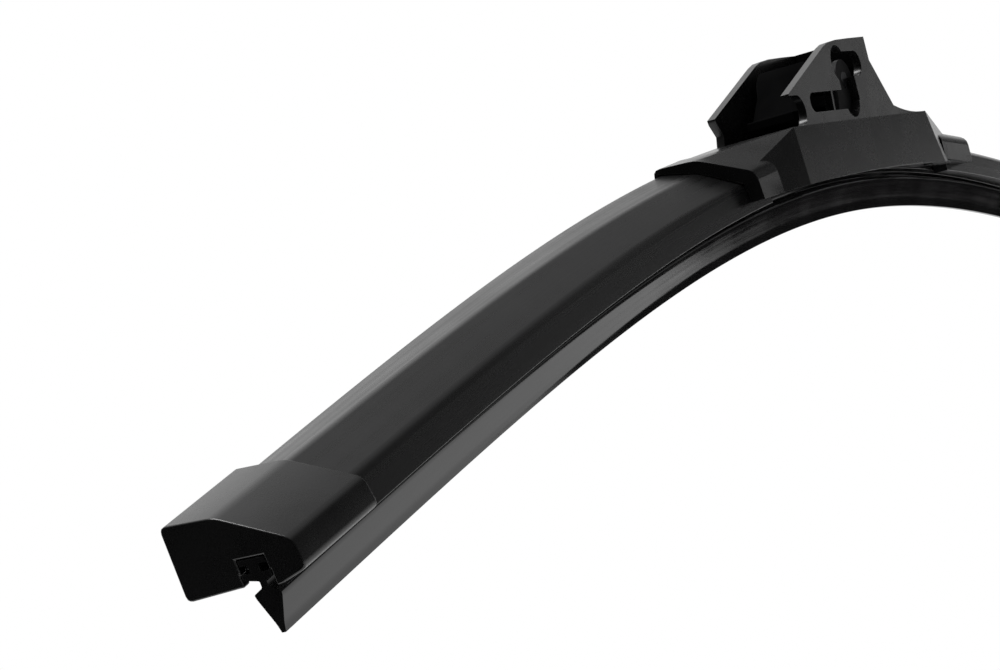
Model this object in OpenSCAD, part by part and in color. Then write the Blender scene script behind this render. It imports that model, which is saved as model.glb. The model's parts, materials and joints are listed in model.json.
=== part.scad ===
// Frameless wiper blade: bowed steel rails, a one-sided spoiler, end caps and a hook-arm connector.
// X runs along the blade, Z points up from the glass, and the lip wipes at -Z.
// The origin is the middle of the connector's cross pin, which the arm's hook goes round.

/* [Blade] */
// Length of the blade along its bow, over both end caps
blade_len = 406; // [320:2:700]
// Curvature of the bow at the middle, in thousandths per millimetre
mid_curve = 2.7; // [1.5:0.1:3.4]
// How fast the bow flattens out towards the ends
bow_fade = 1.23; // [1:0.01:2]
// Height of the cross pin above the spoiler's underside
pin_h = 17; // [16.6:0.1:18]

/* [Wiping rubber] */
// How far the lip reaches below the spoiler's underside
lip_drop = 6.2; // [5:0.05:8]
// Width of the wedge where it is widest
wedge_w = 3.9; // [2.6:0.1:4.2]
// Width of the lip at its edge
lip_w = 0.6; // [0.4:0.05:1]
// How far the neck, wedge and lip stand off the rails' middle
lip_off = 0.5; // [0:0.05:0.8]
// Width of the thin neck that lets the lip flip over
neck_w = 1; // [0.8:0.05:1.6]
// Width of the upper head, over the rails
head_w = 3.8; // [3:0.1:4.2]
// Width of the lower head, under the rails
foot_w = 4.2; // [3.4:0.1:4.6]
// Thickness of each head
head_t = 0.8; // [0.6:0.05:1]

/* [Steel rails] */
// Width of one rail
rail_w = 3; // [2.4:0.1:3.4]
// Thickness of one rail
rail_t = 0.9; // [0.7:0.05:1.1]
// Width of the rubber web between the rails
web_w = 1.5; // [1.2:0.1:2]
// Height of the rails' underside above the spoiler's underside
rail_z = 1.6; // [1.4:0.05:2]

/* [Spoiler] */
// Reach of the tall wall from the rubber's middle
tall_y = 9.45; // [8:0.05:12]
// Height of the tall wall next to the connector
tall_h = 9.75; // [8.6:0.05:12]
// How much lower the tall wall is at the end cap
tall_fall = 1.65; // [0:0.05:2]
// Distance of the ridge from the rubber's middle
ridge_y = 2.8; // [0.5:0.1:5]
// Height of the ridge next to the connector
ridge_h = 8.3; // [7.4:0.05:12]
// How much higher the ridge is at the end cap
ridge_rise = 0.4; // [0:0.05:1]
// Reach of the low wall from the rubber's middle, at its foot
low_y = 5.1; // [4.9:0.05:6.5]
// How far the low wall leans in at its top
low_lean = 0.6; // [0.2:0.05:1]
// Height of the low wall
low_h = 4.6; // [4.2:0.05:5.4]
// Thickness of the spoiler's outer walls
spoiler_wall = 1.2; // [0.9:0.05:1.5]

/* [End caps] */
// Length of an end cap
cap_len = 17.5; // [14:0.5:30]
// How far the cap stands proud of the spoiler's tall wall
cap_tall = 1.35; // [0.3:0.05:2]
// How far the cap stands proud of the spoiler's low wall
cap_low = 2.3; // [0.6:0.05:2.6]
// How far the cap stands proud of the spoiler's ridge
cap_top = 0.3; // [0.1:0.05:1]
// How far the cap stands proud of the tall wall's top
cap_brow = 1.1; // [0.3:0.05:1.5]
// How far the cap's lower edges hang beside the rubber
cap_hem = 0.5; // [0.1:0.05:0.6]
// Thickness of the cap's walls
cap_wall = 1.5; // [1:0.1:2]
// How much narrower the cap is at its outer end, on each side
cap_taper = 0.25; // [0:0.05:0.6]

/* [Connector cover] */
// Length of the cover over both collars
cover_len = 102.8; // [96:0.2:120]
// Length of the collar that wraps the spoiler
collar_len = 8.4; // [7:0.2:10]
// How far the collar stands proud of the spoiler's low wall
collar_side = 2.5; // [1.2:0.1:3]
// How far the collar stands proud of the spoiler's tall wall
collar_tall = 1; // [0.9:0.1:2]
// How far the collar stands proud of the tall wall's top
collar_top = 1.1; // [1:0.1:3]
// How far the collar stands proud of the ridge
collar_crown = 2.3; // [1.2:0.1:3]
// Distance from the collar's mouth to the foot of the ramp
ramp_back = 4.2; // [3:0.1:6]
// Length of the raised block at its top
block_len = 64.6; // [62:0.2:70]
// Extra length of the block at its foot
block_len_flare = 2.8; // [1:0.1:4]
// Width of the block at its top
block_w = 14.8; // [14.4:0.1:16]
// Extra width of the block at its foot
block_w_flare = 2.4; // [1:0.1:4]
// Height of the block's top above the spoiler's underside
block_h = 9.45; // [9:0.05:10]
// Thickness of the cover's walls
cover_wall = 1.3; // [1:0.05:1.5]
// Radius of the gentle arch of the cover's lower edge
skirt_r = 800; // [600:10:1500]

/* [Cheeks] */
// Thickness of each cheek
cheek_t = 1.5; // [1.2:0.05:1.6]
// Height of the cheeks above the spoiler's underside
cheek_h = 24.4; // [23.6:0.1:26]
// Reach of the beaks ahead of the cross pin
beak_x = 33.3; // [31:0.1:36]
// Height of the beaks' tips
beak_h = 14.3; // [14:0.1:15]
// Where the slanted front edge of a cheek meets its top
brow_x = 10.8; // [9:0.1:13]
// Distance from the cross pin to the cheeks' rear edge
cheek_rear = 9.8; // [9:0.1:12]
// Radius of the round notch under the near beak
notch_r = 2.75; // [2:0.05:2.8]
// How far the flared foot runs out behind the cheeks
flare_x = 30; // [24:0.2:31]
// Distance from the cheeks' rear edge to the bend where the foot flares out
foot_run = 6.8; // [6:0.1:8]
// Reach of the bar window ahead of the cross pin
bar_reach = 20.7; // [18:0.1:21]
// Distance from the cross pin to the rib in the bar window
rib_reach = 12.9; // [11:0.1:15]
// Height of the bar window
bar_h = 3.5; // [2.5:0.1:4]

/* [Cross pin] */
// Radius of the steel tube that the arm clip turns on
tube_r = 2.5; // [2.2:0.05:2.8]
// Radius of the rivet through the tube
rivet_r = 1.5; // [1.2:0.05:1.8]
// Radial play of the arm clip on the tube
clip_play = 0.05; // [0.02:0.01:0.1]

/* [Pin bracket and rail clamp] */
// Thickness of the bracket's steel
ear_t = 1; // [0.8:0.05:1]
// Radius of the bracket's ears round the pin
ear_r = 3.8; // [3.4:0.1:4.2]
// Length of the bracket's floor
bracket_len = 28; // [26:0.5:34]
// Gap between the rail clamp's plate and the end walls of the block
clamp_gap = 4; // [3:0.5:9]
// Thickness of the rail clamp's steel
clamp_t = 0.9; // [0.7:0.05:1]
// Height of the clamp plate's underside above the spoiler's underside
clamp_z = 3.5; // [3.4:0.05:3.7]
// Length of one claw along the blade
claw_len = 8; // [5:0.5:10]
// Radius of the shank of a bracket rivet
stud_r = 1.1; // [0.8:0.05:1.3]

/* [Arm clip] */
// Width of the clip's hub, for a hook 9 mm wide
hub_w = 9.2; // [9:0.05:9.2]
// Radius of the hub that the hook goes round
hub_r = 4.2; // [4:0.05:4.3]
// Thickness of the arm's hook strip
strip_t = 3; // [2.6:0.1:3.2]
// Distance from the cross pin to the nub that the hook's end stops against
nub_x = 14.2; // [13:0.1:15]
// Reach of the thumb tongue ahead of the cross pin
tongue_x = 24; // [20:0.5:25]

/* [Hidden] */
// Play between a rail and what grips it, and between other still pieces
grip = 0.05;
play = 0.15;
// Extra depth of a cut, so that it breaks through
cut = 1;
half_len = blade_len / 2;
half_cover = cover_len / 2;
// Distance between two stations along the bow
bow_step = 8;
rail_in = web_w / 2 + grip;
rail_out = rail_in + rail_w;
rail_top = rail_z + rail_t;
ear_in = hub_w / 2 + play;
ear_out = ear_in + ear_t;
cheek_in = block_w / 2 - cheek_t;
clamp_len = block_len - 2 * (cover_wall + clamp_gap);
clamp_top = clamp_z + clamp_t;
floor_top = clamp_top + ear_t;
round_fn = 64;

// The bow: slope in degrees at arc length s, its curvature fading as a power of the distance left
function slope(s) = sign(s) * mid_curve / 1000 * half_len / (bow_fade + 1)
    * (1 - pow(max(0, 1 - abs(s) / half_len), bow_fade + 1)) * 180 / PI;
// One step of Simpson's rule along the bow, as [dx, dz]
function bow_leg(a, b) = (b - a) / 6 * [
    cos(slope(a)) + 4 * cos(slope((a + b) / 2)) + cos(slope(b)),
    -sin(slope(a)) - 4 * sin(slope((a + b) / 2)) - sin(slope(b))
];
// Place of the bow at arc length s, as [x, z]
function bow(s) = s < 0 ? [-bow(-s).x, bow(-s).y]
    : s <= bow_step ? bow_leg(0, s)
    : bow(s - bow_step) + bow_leg(s - bow_step, s);
// A section point [y, z] carried to arc length s
function on_bow(s, p) = let(c = bow(s), a = slope(s)) [c.x + p.y * sin(a), p.x, c.y + p.y * cos(a)];
// Stations from s0 to s1, about one bow step apart
function stations(s0, s1) = let(n = max(1, ceil(abs(s1 - s0) / bow_step)))
    [for (i = [0 : n]) s0 + (s1 - s0) * i / n];

// A list in its own order for the rear half, and turned round for the front half
function facing(way, list) = way > 0 ? list : [for (i = [len(list) - 1 : -1 : 0]) list[i]];

// A solid whose section changes from outline to outline along the bow
module loft(outlines, along) {
    n = len(outlines[0]);
    rings = len(along);
    body = [for (i = [0 : rings - 1], p = outlines[i]) on_bow(along[i], p)];
    sides = [for (i = [0 : rings - 2], j = [0 : n - 1], half = [0, 1]) half == 0
        ? [i * n + j, (i + 1) * n + j, (i + 1) * n + (j + 1) % n]
        : [i * n + j, (i + 1) * n + (j + 1) % n, i * n + (j + 1) % n]];
    first = [for (j = [0 : n - 1]) j];
    last = [for (j = [n - 1 : -1 : 0]) (rings - 1) * n + j];
    polyhedron(body, concat([first], sides, [last]), convexity = 6);
}

// One outline carried along the bow from s0 to s1
module sweep(outline, s0, s1) {
    along = stations(s0, s1);
    loft([for (s = along) outline], along);
}

// Moves its children from the middle's section frame to arc length s
module at_bow(s) {
    translate([bow(s).x, 0, bow(s).y]) rotate([0, slope(s), 0]) children();
}

// Lowers everything so that the cross pin lies at the origin
module from_pin() {
    translate([0, 0, -pin_h]) children();
}

// Draws a flat XZ profile as a slab from y0 to y1
module slab(y0, y1) {
    translate([0, y1, 0]) rotate([90, 0, 0]) linear_extrude(y1 - y0) children();
}

// Sections, anticlockwise, as [y, z] from the rubber's middle and the spoiler's underside
function rubber_section() = let(
    low = rail_z - head_t,
    lip = [
        [neck_w / 2, low - 0.4], [neck_w / 2, -0.45], [wedge_w / 2, -1.15], [wedge_w / 2 - 0.1, -1.7],
        [lip_w / 2 + 0.25, -lip_drop + 1.1], [lip_w / 2, -lip_drop]
    ],
    heads = [
        [foot_w / 2, low], [foot_w / 2, rail_z - grip], [web_w / 2, rail_z - grip],
        [web_w / 2, rail_top + grip], [head_w / 2, rail_top + grip], [head_w / 2, rail_top + head_t]
    ]
) concat(
    [for (i = [5 : -1 : 0]) [-heads[i].x, heads[i].y]],
    [for (p = lip) [-lip_off - p.x, p.y]],
    [for (i = [5 : -1 : 0]) [-lip_off + lip[i].x, lip[i].y]],
    heads
);
// The spoiler's outside, from the connector (far = 0) to the end cap (far = 1), grown by a gap
function spoiler_outside(far = 0, gap = 0) = [
    [-low_y - gap, 0], [tall_y + gap, 0], [tall_y + gap, tall_h - tall_fall * far + gap],
    [ridge_y, ridge_h + ridge_rise * far + gap], [-low_y + low_lean - gap, low_h + gap]
];
// Each corner of an outline replaced by a short curve that starts at most r from it
function softened(outline, r) = let(n = len(outline)) [
    for (i = [0 : n - 1])
        let(
            b = outline[i],
            a = outline[(i + n - 1) % n],
            c = outline[(i + 1) % n],
            to_a = (a - b) * min(0.45, r / norm(a - b)),
            to_c = (c - b) * min(0.45, r / norm(c - b))
        )
            for (t = [0 : 1 / 3 : 1]) b + to_a * (1 - t) * (1 - t) + to_c * t * t
];
function box_section(y0, z0, y1, z1) = [[y0, z0], [y1, z0], [y1, z1], [y0, z1]];

// The black wiping rubber: two heads that hold the rails, a thin neck, a wedge and the lip
module wiper_rubber() {
    color([0.07, 0.07, 0.08]) from_pin()
        sweep(rubber_section(), -half_len + play, half_len - play);
}

// One flat spring-steel rail in the rubber's side groove
module rail(side) {
    reach = half_len - cap_wall - play;
    span = facing(side, [side * rail_in, side * rail_out]);
    color([0.35, 0.36, 0.38]) from_pin()
        sweep(box_section(span[0], rail_z, span[1], rail_top), -reach, reach);
}

// The hollow spoiler from the connector to the end cap, with lips that grip the rails
module spoiler(way) {
    start = half_cover - collar_len + play;
    end = half_len - cap_len - play;
    slot = rail_out + play;
    mouth = foot_w / 2 + play;
    room = rail_top + head_t + play;
    web = 0.8;
    ceiling = min(ridge_h, tall_h - tall_fall + 0.2) - spoiler_wall - 0.1;
    along = stations(min(way * start, way * end), max(way * start, way * end));
    fall = (ridge_h - low_h) / (ridge_y + low_y - low_lean);
    roof = spoiler_wall * sqrt(1 + fall * fall);
    low_left = -low_y + low_lean + (room + web + roof - low_h) / fall;
    rail_room = box_section(-slot, rail_z - play, slot, rail_top + play);
    head_room = box_section(-head_w / 2 - play, rail_z, head_w / 2 + play, room);
    foot_room = box_section(-mouth, -cut, mouth, rail_z + play);
    upper_room = [
        [low_left, room + web], [slot, room + web], [slot, ceiling], [ridge_y, ridge_h - roof]
    ];
    tall_room = box_section(slot + web, spoiler_wall, tall_y - spoiler_wall, ceiling);
    color([0.12, 0.12, 0.13]) from_pin() difference() {
        loft([for (s = along) spoiler_outside((abs(s) - start) / (end - start))], along);
        for (hollow = [rail_room, head_room, foot_room, upper_room, tall_room])
            sweep(hollow, min(way * start, way * end) - cut, max(way * start, way * end) + cut);
    }
}

// The stamped sleeve near each end that holds both rails and stops the rubber creeping
module rail_stop(way) {
    wall = 0.5;
    long = 6;
    inner = rail_out + grip;
    outer = inner + wall;
    lift = rail_top + head_t + grip;
    color([0.42, 0.42, 0.44]) from_pin() at_bow(way * (half_len - cap_wall - long)) difference() {
        translate([-long / 2, -outer, rail_z - grip - wall])
            cube([long, 2 * outer, lift - rail_z + 2 * wall + grip]);
        translate([-long / 2 - cut, -inner, rail_z - grip])
            cube([long + 2 * cut, 2 * inner, rail_t + 2 * grip]);
        translate([-long / 2 - cut, -head_w / 2 - grip, rail_top])
            cube([long + 2 * cut, head_w + 2 * grip, lift - rail_top]);
        translate([-long / 2 - cut, -foot_w / 2 - grip, -cut])
            cube([long + 2 * cut, foot_w + 2 * grip, rail_z + cut]);
    }
}

// The moulded cap over the end of the blade, with a room for the rails and a slot for the rubber
module end_cap(way) {
    inner = half_len - cap_len;
    stop_room = rail_out + 0.5 + 2 * play;
    shell_top = ridge_h - cap_wall;
    room = facing(way, [way * (inner - cut), way * (half_len - cap_wall)]);
    slot = facing(way, [way * (half_len - cap_wall - cut), way * (half_len + cut)]);
    // Outline of the cap, drawn in at its outer end
    function cap_outline(shrink) = [
        [-low_y - cap_low + shrink, 0.9], [-foot_w / 2 - 0.3, -cap_hem - 0.1], [foot_w / 2 + 0.3, 0],
        [tall_y + cap_tall + 0.3 - shrink, -cap_hem],
        [tall_y + cap_tall - shrink, tall_h - tall_fall + cap_brow],
        [ridge_y, ridge_h + ridge_rise + cap_top], [-low_y + low_lean - cap_low + shrink, low_h + cap_top / 2]
    ];
    color([0.1, 0.1, 0.11]) from_pin() difference() {
        loft(
            facing(way, [for (k = [0, 0, 1]) softened(cap_outline(k * cap_taper), 0.9)]),
            facing(way, [way * inner, way * (inner + cap_len / 2), way * half_len])
        );
        // Room for the rails and their stop, open to the spoiler and below
        sweep(box_section(-stop_room, -cut, stop_room, rail_top + head_t + 0.6 + play), room[0], room[1]);
        // Slot in the end wall for the rubber
        for (opening = [
            box_section(-foot_w / 2 - play, -cut, foot_w / 2 + play, rail_z),
            box_section(-head_w / 2 - play, rail_z - cut, head_w / 2 + play, rail_top + head_t + play)
        ])
            sweep(opening, slot[0], slot[1]);
        // Hollow over the rails, behind the tall wall
        side_room = box_section(stop_room + 1, 1.2, tall_y + cap_tall - cap_wall - cap_taper, shell_top);
        sweep(side_room, room[0], room[1]);
    }
}

// The steel plate whose claws grip the rails under the connector
module rail_clamp() {
    wall = 0.8;
    claw_at = clamp_len / 2 - claw_len / 2;
    // The claws reach down further as the rails fall away from the flat plate
    drop = -bow(claw_at).y;
    room_top = block_h - cover_wall;
    tab_y = block_w / 2 - cover_wall + block_w_flare / 2 * (room_top - clamp_top) / (room_top + 3) - play;
    color([0.3, 0.31, 0.33]) from_pin() difference() {
        union() {
            translate([-clamp_len / 2, -rail_out - wall, clamp_z])
                cube([clamp_len, 2 * (rail_out + wall), clamp_t]);
            // Tabs that the cover's side walls rest against
            for (x = [-clamp_len / 4, clamp_len / 4])
                translate([x - 3, -tab_y, clamp_z]) cube([6, 2 * tab_y, clamp_t]);
            for (way = [-1, 1], side = [0, 1])
                at_bow(way * claw_at) mirror([0, side, 0]) {
                    translate([-claw_len / 2, rail_out + grip, rail_z - grip - wall])
                        cube([claw_len, wall, clamp_z - rail_z + 2 * wall + grip + drop]);
                    translate([-claw_len / 2, foot_w / 2 + grip + 0.2, rail_z - grip - wall])
                        cube([claw_len, rail_out + grip - foot_w / 2 - 0.2, wall]);
                    translate([-claw_len / 2, head_w / 2 + 0.4, rail_top + grip])
                        cube([claw_len, rail_out + grip - head_w / 2, clamp_z - rail_top + 0.6 + drop]);
                }
        }
        for (x = [-1, 1], y = [-1, 1])
            translate([x * stud_x(), y * stud_y(), clamp_z - cut])
                cylinder(r = stud_r + grip, h = 3 * cut, $fn = round_fn);
    }
}

// Places of the bracket's rivets
function stud_x() = bracket_len / 2 - 3.4;
function stud_y() = 2.5;

// The U-shaped steel bracket whose ears carry the cross pin
module pin_bracket() {
    foot = 8;
    color([0.22, 0.22, 0.24]) from_pin() difference() {
        union() {
            translate([-bracket_len / 2, -ear_out, clamp_top]) cube([bracket_len, 2 * ear_out, ear_t]);
            for (y = [-ear_out, ear_in])
                slab(y, y + ear_t) union() {
                    translate([0, pin_h]) circle(r = ear_r, $fn = round_fn);
                    polygon([
                        [-foot, clamp_top], [foot, clamp_top], [foot, clamp_top + 2],
                        [ear_r, pin_h], [-ear_r, pin_h], [-foot, clamp_top + 2]
                    ]);
                }
        }
        translate([0, ear_out + cut, pin_h]) rotate([90, 0, 0])
            cylinder(r = rivet_r + grip, h = 2 * (ear_out + cut), $fn = round_fn);
        for (x = [-1, 1], y = [-1, 1])
            translate([x * stud_x(), y * stud_y(), clamp_top - cut])
                cylinder(r = stud_r + grip, h = 3 * cut, $fn = round_fn);
    }
}

// A domed rivet that ties the bracket to the clamp
module bracket_rivet(x, y) {
    head_h = 0.8;
    head_r = stud_r + 0.8;
    color([0.5, 0.5, 0.52]) from_pin() translate([x * stud_x(), y * stud_y(), clamp_z]) {
        cylinder(r = stud_r, h = floor_top - clamp_z + head_h / 2, $fn = round_fn);
        translate([0, 0, floor_top - clamp_z]) rotate_extrude($fn = round_fn) intersection() {
            translate([0, -(head_r * head_r - head_h * head_h) / (2 * head_h)])
                circle(r = (head_r * head_r + head_h * head_h) / (2 * head_h), $fn = round_fn);
            square([head_r, head_h]);
        }
    }
}

// The steel tube on the cross pin
module pin_tube() {
    color([0.62, 0.62, 0.65]) translate([0, ear_in - grip, 0]) rotate([90, 0, 0]) difference() {
        cylinder(r = tube_r, h = 2 * (ear_in - grip), $fn = round_fn);
        translate([0, 0, -cut]) cylinder(r = rivet_r + grip, h = 2 * (ear_in + cut), $fn = round_fn);
    }
}

// The rivet through the tube and both ears, flush with them
module pin_rivet() {
    color([0.5, 0.5, 0.52]) translate([0, ear_out, 0]) rotate([90, 0, 0])
        cylinder(r = rivet_r, h = 2 * ear_out, $fn = round_fn);
}

// Outline of a cheek from the side, without its notch and windows
module cheek_outline(front) {
    foot_rise = 1.75;
    foot_x = cheek_rear + foot_run;
    foot_curve = [for (t = [1 : -0.2 : 0])
        [foot_x + t * (flare_x - foot_x), block_h + foot_rise * pow(1 - t, 2)]];
    polygon(concat(
        front,
        [[-block_len / 2 + 2, block_h - 2], [flare_x, block_h - 2]],
        foot_curve,
        [[cheek_rear, cheek_h - 4.4], [cheek_rear, cheek_h], [2, cheek_h - 0.15]],
        [[-brow_x + 6.5, cheek_h - 0.35], [-brow_x + 2.4, cheek_h - 0.8], [-brow_x, cheek_h - 1.5]]
    ));
}

// The near cheek's cut-outs: a round-ended window on top of a stem, a bar window with a rib, and the notch
module cheek_windows() {
    bar_z = block_h + 2.05;
    // Upper window: a large and a small round lobe, joined
    translate([-5.2, pin_h + 2.7]) circle(r = 3.4, $fn = round_fn);
    translate([3.1, pin_h + 2.6]) circle(r = 2.3, $fn = round_fn);
    translate([-5.2, pin_h + 0.3]) square([8.3, 4.6]);
    // Stem down from it, with a round foot
    translate([-3.2, block_h + 3.9]) circle(r = 3.5, $fn = round_fn);
    translate([-6.9, block_h + 3.4]) square([7.6, pin_h - block_h]);
    // Bar window, with a thin rib left in it
    difference() {
        union() {
            translate([-bar_reach, bar_z + bar_h / 2]) circle(r = bar_h / 2, $fn = round_fn);
            translate([-bar_reach, bar_z]) square([bar_reach - 4.7, bar_h]);
        }
        translate([-rib_reach, block_h]) rotate([0, 0, -8]) square([0.7, 2 * bar_h + 1]);
    }
    // Notch under the beak
    translate([-beak_x + 5.3, block_h - 0.15 + notch_r]) circle(r = notch_r, $fn = round_fn);
    translate([-beak_x - 2, block_h - 0.15]) square([7.3, 2 * notch_r]);
}

// The moulded cover: collars round the spoiler, ramps, the raised block, the cheeks and their rear wall
module connector_cover() {
    thin = 0.01;
    // The near beak ends over the notch, short of the far one
    near_beak = beak_x - 2.2;
    beak_slope = (cheek_h - 1.5 - beak_h) / (beak_x - brow_x);
    collar = softened([
        [-low_y - collar_side, 0], [tall_y + collar_tall, 0], [tall_y + collar_tall, tall_h + collar_top],
        [ridge_y - 0.3, ridge_h + collar_crown], [-low_y - collar_side + 0.3, low_h + collar_crown - 0.6]
    ], 1.4);
    // The ramp starts from a narrower section than the collar, which leaves a waist in the side
    sunk = 0.25;
    ramp_from = [
        [-low_y + 0.1, 0.3], [tall_y + 0.4, 0.3], [tall_y + 0.4, tall_h + collar_top - sunk],
        [ridge_y, ridge_h + collar_crown - sunk], [-low_y + 0.5, low_h + collar_crown - 0.6]
    ];
    wide = block_w + block_w_flare;
    long = block_len + block_len_flare;
    color([0.13, 0.13, 0.14]) from_pin() difference() {
        union() {
            for (way = [-1, 1]) {
                near = way * (half_cover - collar_len);
                foot = way * (half_cover - ramp_back);
                loft([collar, collar], facing(way, [near, way * half_cover]));
                hull() {
                    sweep(ramp_from, foot - 0.5, foot + 0.5);
                    translate([way * (block_len / 2 - 1) - 1, -block_w / 2, block_h - thin])
                        cube([2, block_w, thin]);
                    translate([way * (long / 2 - 1) - 1, -wide / 2, -2]) cube([2, wide, thin]);
                }
            }
            hull() {
                translate([-block_len / 2, -block_w / 2, block_h - thin]) cube([block_len, block_w, thin]);
                translate([-long / 2, -wide / 2, -2]) cube([long, wide, thin]);
            }
            difference() {
                slab(-block_w / 2, -cheek_in) cheek_outline([
                    [-near_beak, beak_h + beak_slope * (beak_x - near_beak)], [-near_beak, block_h - 2]
                ]);
                slab(-block_w / 2 - cut, -cheek_in + cut) cheek_windows();
            }
            slab(cheek_in, block_w / 2)
                cheek_outline([
                    [-beak_x, beak_h], [-beak_x + 0.2, beak_h - 0.8],
                    [-beak_x + 2, beak_h - 3], [-beak_x + 1.3, block_h]
                ]);
            // Rear wall between the cheeks
            slab(-cheek_in - thin, cheek_in + thin) polygon([
                [cheek_rear, cheek_h], [cheek_rear - cover_wall, cheek_h],
                [cheek_rear - cover_wall, cheek_h - 4.8],
                [cheek_rear + foot_run - cover_wall - 0.1, block_h - 0.5],
                [cheek_rear + foot_run + 2.2, block_h - 0.5],
                [cheek_rear + foot_run, block_h + 1.75], [cheek_rear, cheek_h - 4.4]
            ]);
        }
        // Room under the block
        hull() {
            translate([-block_len / 2 + cover_wall, -block_w / 2 + cover_wall, block_h - cover_wall - thin])
                cube([block_len - 2 * cover_wall, block_w - 2 * cover_wall, thin]);
            translate([-long / 2 + cover_wall, -wide / 2 + cover_wall, -3])
                cube([long - 2 * cover_wall, wide - 2 * cover_wall, thin]);
        }
        // Well between the cheeks
        translate([-block_len / 2 + cover_wall, -cheek_in, block_h - 2 * cover_wall])
            cube([block_len / 2 + cheek_rear - 2 * cover_wall, 2 * cheek_in, 2 * cover_wall + 1]);
        for (way = [-1, 1]) {
            near = way * (half_cover - collar_len);
            far = way * (half_cover + cut);
            mid = way * (block_len / 2 - 2);
            // Passage for the spoiler, and a smaller one for the rails and rubber
            below = [[-low_y - play, 0], [-low_y - play, -3], [tall_y + play, -3]];
            rails = box_section(-rail_out - 0.8, -4, rail_out + 0.8, rail_top + head_t + 0.8);
            sweep(concat(spoiler_outside(0, play), below), min(near, far), max(near, far));
            sweep(rails, min(mid, near + way), max(mid, near + way));
        }
        // Arched lower edge
        slab(-wide, wide) polygon(concat(
            [[-half_cover - cut, -wide]],
            [for (t = [-1 : 1 / 12 : 1])
                [t * (half_cover + cut), -pow(t * (half_cover + cut), 2) / (2 * skirt_r)]],
            [[half_cover + cut, -wide]]
        ));
    }
}

// The clip that the arm's hook goes round: a hub on the tube, a body, a nub and a thumb tongue
module arm_clip() {
    neck = 2.6;
    neck_x = hub_r + 2.8;
    shoulder_x = hub_r + 4.8;
    under = hub_r + strip_t;
    color([0.16, 0.16, 0.17]) slab(-hub_w / 2, hub_w / 2) difference() {
        union() {
            circle(r = hub_r, $fn = round_fn);
            polygon([
                [0, neck], [-neck_x, neck], [-shoulder_x, hub_r], [-nub_x + 0.6, hub_r],
                [-nub_x - 1.4, hub_r - 1.6],
                [-nub_x - 2.4, 0], [-tongue_x + 3, -4.2], [-tongue_x, -4.4], [-tongue_x, -6],
                [-tongue_x + 3, -6.2], [-nub_x - 2.6, -under + 0.6], [-nub_x - 1.6, -under - 0.3],
                [-nub_x, -under - 0.3], [-nub_x, -hub_r], [-shoulder_x, -hub_r], [-neck_x, -neck], [0, -neck]
            ]);
        }
        circle(r = tube_r + clip_play, $fn = round_fn);
        // Slit that lets the nub spring
        translate([-nub_x + 0.6, -2.2]) square([nub_x - neck_x - 0.5, 1]);
    }
}

arm_clip();
connector_cover();
pin_bracket();
rail_clamp();
pin_tube();
pin_rivet();
bracket_rivet(-1, -1);  // bracket_rivet_1
bracket_rivet(1, -1);  // bracket_rivet_2
bracket_rivet(-1, 1);  // bracket_rivet_3
bracket_rivet(1, 1);  // bracket_rivet_4
rail(1);  // rail_left
rail(-1);  // rail_right
wiper_rubber();
spoiler(-1);  // spoiler_front
spoiler(1);  // spoiler_rear
rail_stop(-1);  // rail_stop_front
rail_stop(1);  // rail_stop_rear
end_cap(-1);  // end_cap_front
end_cap(1);  // end_cap_rear
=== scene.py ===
"""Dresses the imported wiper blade: spoilers, rubber, connector, caps, steel, studio and camera.

Sizes of the pieces are millimetres, measured as in the part's source: along the bow from the
blade's middle, sideways from the rubber's middle and up from the spoiler's underside.
Bow.carry() turns them into metres in the shared frame, whose origin is the cross pin. Finishes,
camera and studio are in metres.
"""
import json
import logging
from dataclasses import dataclass, field
from enum import Enum

import bmesh
import bpy
import numpy as np
from mathutils import Matrix, Vector
from mathutils.geometry import tessellate_polygon

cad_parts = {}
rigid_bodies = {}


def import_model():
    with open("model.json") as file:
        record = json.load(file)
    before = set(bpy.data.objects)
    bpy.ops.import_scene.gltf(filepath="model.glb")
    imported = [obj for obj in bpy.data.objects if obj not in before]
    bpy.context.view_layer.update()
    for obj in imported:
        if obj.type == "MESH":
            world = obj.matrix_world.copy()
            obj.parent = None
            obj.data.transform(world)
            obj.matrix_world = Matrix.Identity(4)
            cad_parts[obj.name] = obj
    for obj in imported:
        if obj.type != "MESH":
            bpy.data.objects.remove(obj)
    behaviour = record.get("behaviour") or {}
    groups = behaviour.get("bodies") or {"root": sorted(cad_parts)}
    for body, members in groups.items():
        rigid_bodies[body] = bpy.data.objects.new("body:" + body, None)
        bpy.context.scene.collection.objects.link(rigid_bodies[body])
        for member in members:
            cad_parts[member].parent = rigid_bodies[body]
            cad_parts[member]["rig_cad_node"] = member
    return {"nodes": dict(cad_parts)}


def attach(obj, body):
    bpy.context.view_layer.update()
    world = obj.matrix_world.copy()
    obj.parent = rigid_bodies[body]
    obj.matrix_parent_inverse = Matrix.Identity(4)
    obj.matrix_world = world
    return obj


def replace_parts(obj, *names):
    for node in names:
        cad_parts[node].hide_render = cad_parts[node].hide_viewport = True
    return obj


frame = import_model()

log = logging.getLogger("wiper_blade")

MM = 0.001
Section = np.ndarray
Grid = np.ndarray
Span = tuple[float, float]
Colour = tuple[float, float, float]
LONGEST_CUT = 0.45
MERGE_WITHIN = 0.002


# ---------------------------------------------------------------- the bow and its sections


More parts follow.
